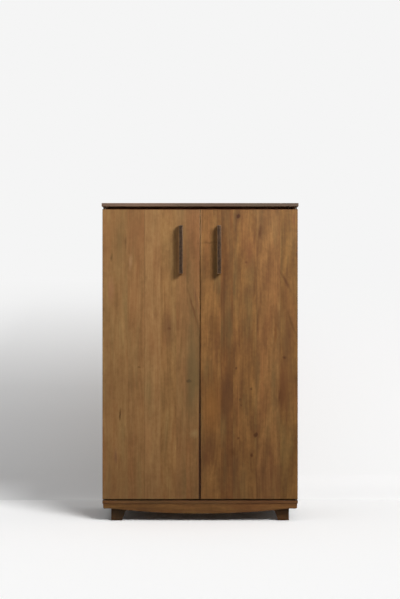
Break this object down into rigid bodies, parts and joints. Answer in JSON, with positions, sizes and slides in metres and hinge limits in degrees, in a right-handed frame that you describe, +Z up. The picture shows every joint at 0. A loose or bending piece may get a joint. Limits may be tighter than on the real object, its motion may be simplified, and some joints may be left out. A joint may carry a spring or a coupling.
{
  "type": "bar cabinet",
  "caption": "Free-standing bar cabinet: full-height doors on pivot hinges, slab top on a recessed riser, bellied apron, bottle grid, shelves and stemware rails inside.",
  "frame": {"origin": "on the floor, midway between the sides and midway between the front of the pulls and the back edge of the top", "axes": "+Z up, doors face -Y, +X to the right as seen from the front"},
  "size_m": [0.66, 0.435, 1.067],
  "materials": {
    "door_wood": "satin stained, upright grain",
    "case_wood": "satin stained, upright grain",
    "top_wood": "satin stained, grain along the width",
    "base_wood": "satin stained, grain along the width",
    "foot_wood": "satin, stained dark",
    "inner_wood": "satin",
    "back_board": "satin, thin board",
    "dark_metal": "satin dark bronze",
    "hinge_steel": "antique bronze plated",
    "screw_steel": "zinc plated",
    "rubber_pad": "matt",
    "catch_plastic": "moulded brown",
    "glide_plastic": "moulded"
  },
  "bodies": {
    "case": {"back_panel": "back_board", "back_screws": "screw_steel", "base_board": "base_wood", "case_bottom": "inner_wood", "case_screws": "screw_steel", "case_top": "inner_wood", "fixed_shelf": "inner_wood", "foot_bolts": "screw_steel", "foot_glides": "glide_plastic", "front_apron": "base_wood", "front_left_foot": "foot_wood", "front_right_foot": "foot_wood", "grid_divider_1": "inner_wood", "grid_divider_2": "inner_wood", "grid_divider_3": "inner_wood", "grid_divider_4": "inner_wood", "grid_level": "inner_wood", "hardware_screws": "screw_steel", "left_apron": "base_wood", "left_lower_pivot": "hinge_steel", "left_side": "case_wood", "left_upper_pivot": "hinge_steel", "loose_shelf": "inner_wood", "magnetic_catches": "catch_plastic", "rear_apron": "base_wood", "rear_left_foot": "foot_wood", "rear_right_foot": "foot_wood", "right_apron": "base_wood", "right_lower_pivot": "hinge_steel", "right_side": "case_wood", "right_upper_pivot": "hinge_steel", "riser": "foot_wood", "shelf_pins": "hinge_steel", "stemware_spacers": "inner_wood", "stemware_strips": "inner_wood", "thrust_washers": "hinge_steel", "top_slab": "top_wood"},
    "left_leaf": {"left_bumpers": "rubber_pad", "left_door": "door_wood", "left_door_screws": "screw_steel", "left_pull": "dark_metal", "left_pull_screws": "screw_steel", "left_rack_ends": "inner_wood", "left_rack_rod": "dark_metal", "left_rack_tray": "inner_wood", "left_sockets": "hinge_steel", "left_strike": "hinge_steel"},
    "right_leaf": {"right_bumpers": "rubber_pad", "right_door": "door_wood", "right_door_screws": "screw_steel", "right_pull": "dark_metal", "right_pull_screws": "screw_steel", "right_rack_ends": "inner_wood", "right_rack_rod": "dark_metal", "right_rack_tray": "inner_wood", "right_sockets": "hinge_steel", "right_strike": "hinge_steel"}
  },
  "joints": [
    {"name": "left_hinge", "type": "hinge", "parent": "case", "child": "left_leaf", "pos_m": [-0.3195, -0.17472, 0], "axis": [0, 0, -1], "range_deg": [0, 110]},
    {"name": "right_hinge", "type": "hinge", "parent": "case", "child": "right_leaf", "pos_m": [0.3195, -0.17472, 0], "axis": [0, 0, 1], "range_deg": [0, 110]}
  ]
}
